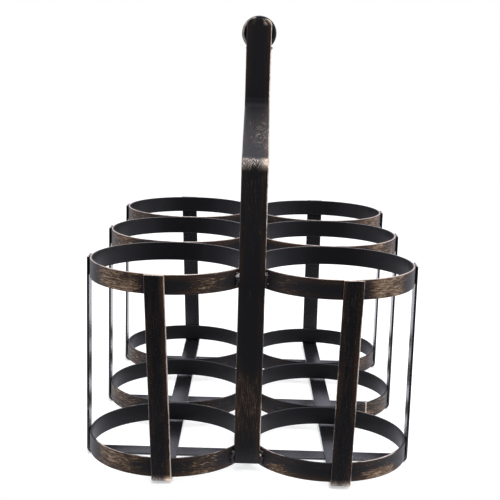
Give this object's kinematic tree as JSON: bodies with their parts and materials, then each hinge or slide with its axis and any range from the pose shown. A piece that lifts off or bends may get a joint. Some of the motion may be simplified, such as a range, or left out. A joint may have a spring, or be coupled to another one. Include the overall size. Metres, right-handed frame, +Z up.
{
  "type": "bottle caddy",
  "caption": "Free-standing bottle caddy of welded flat iron strip: a block of ring cups on strap feet, with cranked end uprights carrying a round handle tube.",
  "frame": {"origin": "middle of the footprint, on the table under the cross straps", "axes": "+Z up, +Y along the handle and the three rows of cups, front row towards -Y, +X to the right"},
  "size_m": [0.2034, 0.3036, 0.2755],
  "materials": {
    "brushed_ring": "satin black paint with dry-brushed bronze along the outer faces, worn at the edges",
    "brushed_strap": "satin black paint with a little dry-brushed bronze, worn at the edges",
    "brushed_bar": "satin black paint with dry-brushed bronze along the bar, worn at bends and edges",
    "black_weld": "gloss black paint over lumpy weld metal"
  },
  "bodies": {
    "root": {"upper_ring_front_left": "brushed_ring", "upper_ring_front_right": "brushed_ring", "upper_ring_middle_left": "brushed_ring", "upper_ring_middle_right": "brushed_ring", "upper_ring_rear_left": "brushed_ring", "upper_ring_rear_right": "brushed_ring", "lower_ring_front_left": "brushed_ring", "lower_ring_front_right": "brushed_ring", "lower_ring_middle_left": "brushed_ring", "lower_ring_middle_right": "brushed_ring", "lower_ring_rear_left": "brushed_ring", "lower_ring_rear_right": "brushed_ring", "long_strap_left": "brushed_strap", "long_strap_right": "brushed_strap", "cross_strap_front": "brushed_strap", "cross_strap_middle": "brushed_strap", "cross_strap_rear": "brushed_strap", "upright_front": "brushed_bar", "upright_rear": "brushed_bar", "handle_tube": "brushed_bar", "ring_welds_upper": "black_weld", "ring_welds_lower": "black_weld", "upright_welds": "black_weld", "handle_welds": "black_weld"}
  },
  "joints": []
}
